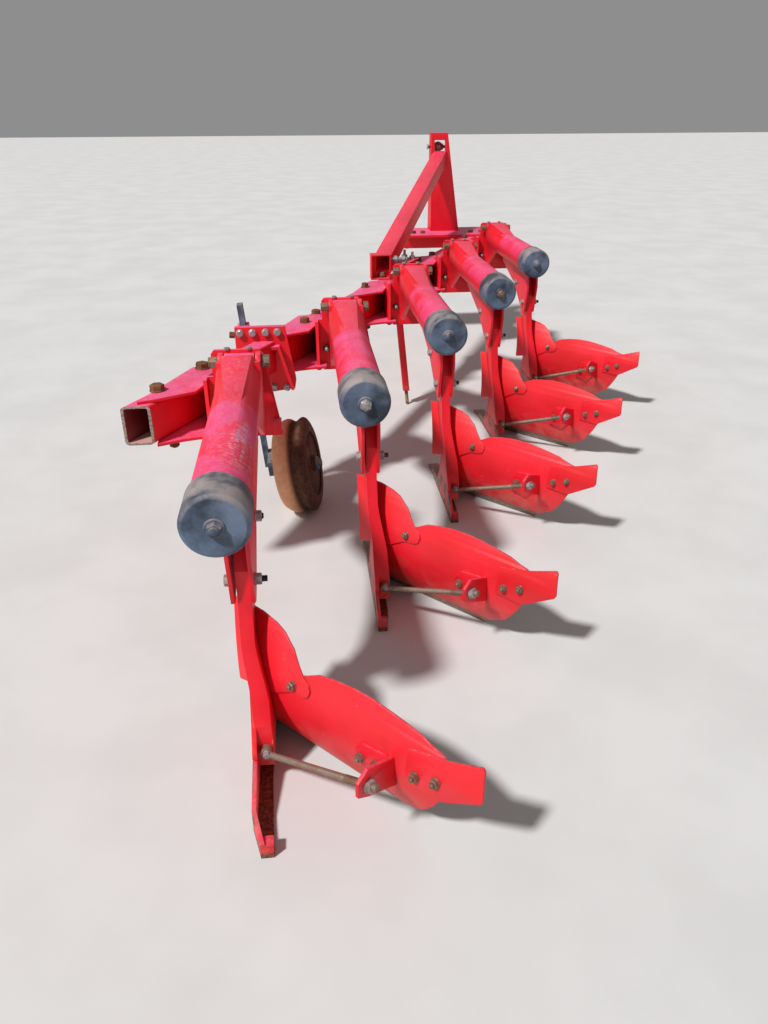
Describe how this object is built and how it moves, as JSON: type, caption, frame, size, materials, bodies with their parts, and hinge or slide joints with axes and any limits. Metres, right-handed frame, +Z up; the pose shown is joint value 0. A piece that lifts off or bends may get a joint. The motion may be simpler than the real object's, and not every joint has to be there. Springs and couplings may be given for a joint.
{
  "type": "mounted mouldboard plough with trip arms",
  "caption": "Mounted mouldboard plough with a slanting beam, sprung trip arms, mouldboard bodies, tapered headstock, depth wheel and parking stand.",
  "frame": {"origin": "on the ground, below the middle of the whole plough", "axes": "+X is the plough's right as it travels, +Y the way it travels, +Z up"},
  "size_m": [2.9741, 6.095, 1.7],
  "materials": {
    "red_paint": "bright red paint, scratched and dusty",
    "slate_paint": "blue-grey paint with brown dust",
    "rusty_steel": "brown rust",
    "worn_steel": "dull worn steel"
  },
  "bodies": {
    "frame": {"beam_front": "red_paint", "beam_rear": "red_paint", "brackets": "red_paint", "headstock_base": "red_paint", "mast": "red_paint", "cross_shaft": "red_paint", "brace": "red_paint", "wheel_shank": "slate_paint", "stand_tube": "red_paint"},
    "wheel": {"depth_wheel": "rusty_steel"},
    "stand": {"stand_leg": "rusty_steel"},
    "trip_1": {"arm_1": "red_paint", "cap_1": "slate_paint", "leg_1": "red_paint", "mouldboard_1": "red_paint", "share_1": "worn_steel", "landside_1": "rusty_steel", "lug_1": "red_paint", "stay_1": "worn_steel"},
    "trip_2": {"arm_2": "red_paint", "cap_2": "slate_paint", "leg_2": "red_paint", "mouldboard_2": "red_paint", "share_2": "worn_steel", "landside_2": "rusty_steel", "lug_2": "red_paint", "stay_2": "worn_steel"},
    "trip_3": {"arm_3": "red_paint", "cap_3": "slate_paint", "leg_3": "red_paint", "mouldboard_3": "red_paint", "share_3": "worn_steel", "landside_3": "rusty_steel", "lug_3": "red_paint", "stay_3": "worn_steel"},
    "trip_4": {"arm_4": "red_paint", "cap_4": "slate_paint", "leg_4": "red_paint", "mouldboard_4": "red_paint", "share_4": "worn_steel", "landside_4": "rusty_steel", "lug_4": "red_paint", "stay_4": "worn_steel"},
    "trip_5": {"arm_5": "red_paint", "cap_5": "slate_paint", "leg_5": "red_paint", "mouldboard_5": "red_paint", "share_5": "worn_steel", "landside_5": "rusty_steel", "lug_5": "red_paint", "stay_5": "worn_steel"}
  },
  "joints": [
    {"name": "trip_1_pivot", "type": "hinge", "parent": "frame", "child": "trip_1", "pos_m": [-1.0276, -1.4225, 1.022], "axis": [-1, 0, 0], "range_deg": [0, 30], "stiffness_Nm_per_rad": 6000, "springref_deg": -45.84},
    {"name": "trip_2_pivot", "type": "hinge", "parent": "frame", "child": "trip_2", "pos_m": [-0.5626, -0.5375, 1.022], "axis": [-1, 0, 0], "range_deg": [0, 30], "stiffness_Nm_per_rad": 6000, "springref_deg": -45.84},
    {"name": "trip_3_pivot", "type": "hinge", "parent": "frame", "child": "trip_3", "pos_m": [-0.0976, 0.3475, 1.022], "axis": [-1, 0, 0], "range_deg": [0, 30], "stiffness_Nm_per_rad": 6000, "springref_deg": -45.84},
    {"name": "trip_4_pivot", "type": "hinge", "parent": "frame", "child": "trip_4", "pos_m": [0.3674, 1.2325, 1.022], "axis": [-1, 0, 0], "range_deg": [0, 30], "stiffness_Nm_per_rad": 6000, "springref_deg": -45.84},
    {"name": "trip_5_pivot", "type": "hinge", "parent": "frame", "child": "trip_5", "pos_m": [0.8324, 2.1175, 1.022], "axis": [-1, 0, 0], "range_deg": [0, 30], "stiffness_Nm_per_rad": 6000, "springref_deg": -45.84},
    {"name": "wheel_spin", "type": "hinge", "parent": "frame", "child": "wheel", "pos_m": [-0.8126, -0.7005, 0.2487], "axis": [0.9755, -0.1545, 0.1564], "continuous": true},
    {"name": "stand_slide", "type": "slide", "parent": "frame", "child": "stand", "axis": [-0.1028, 0, 0.9947], "range_m": [0, 0.28]}
  ]
}
